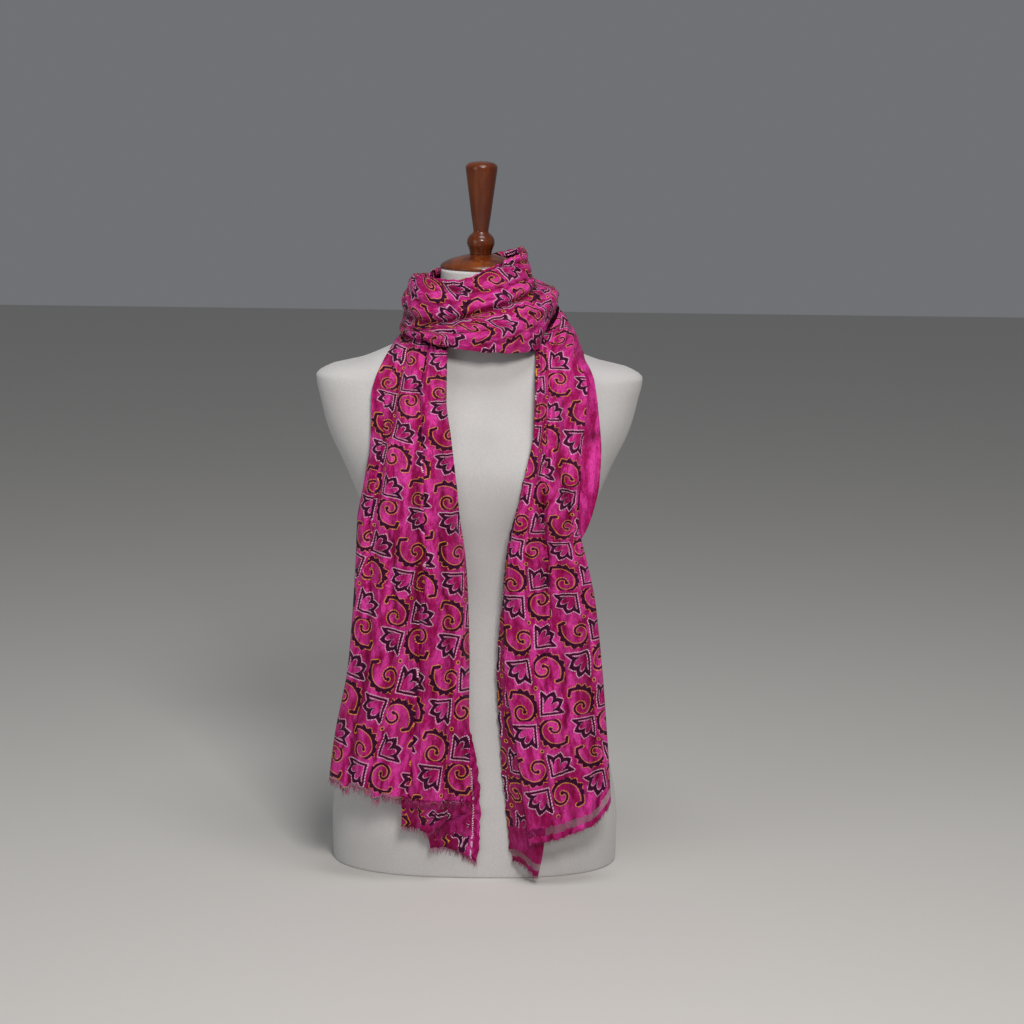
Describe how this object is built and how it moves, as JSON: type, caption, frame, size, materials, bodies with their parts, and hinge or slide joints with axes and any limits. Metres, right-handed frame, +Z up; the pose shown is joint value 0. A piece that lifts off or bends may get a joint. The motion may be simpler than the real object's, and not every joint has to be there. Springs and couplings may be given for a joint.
{
  "type": "shawl on a limbless dress form",
  "caption": "Stitched silk shawl wound once round the neck of a counter-top dress form, with both fringed ends hanging down its front.",
  "frame": {"origin": "centre of the form's flat foot, on the surface it stands on", "axes": "+Z up along the form's neck, -Y the way the form faces, +X the viewer's right"},
  "size_m": [0.3862, 0.2507, 0.842],
  "materials": {
    "silk": "glossy silk with dark motifs edged in white and yellow running stitch",
    "silk_plain": "glossy plain silk selvedge",
    "fringe": "loose warp ends",
    "jersey": "matte off-white jersey",
    "wood": "varnished red-brown"
  },
  "bodies": {
    "root": {"form_body": "jersey", "form_cap": "wood", "form_finial": "wood", "neck_back_inner": "silk", "neck_front": "silk", "neck_back_outer": "silk", "shoulder_left": "silk", "shoulder_right": "silk", "drape_left_front": "silk", "drape_left_middle": "silk", "drape_left_back": "silk", "drape_right_front": "silk", "drape_right_back": "silk", "selvedge_right": "silk_plain", "fringe_left_front": "fringe", "fringe_left_middle": "fringe", "fringe_left_back": "fringe", "fringe_right_front": "fringe", "fringe_right_back": "fringe"}
  },
  "joints": []
}
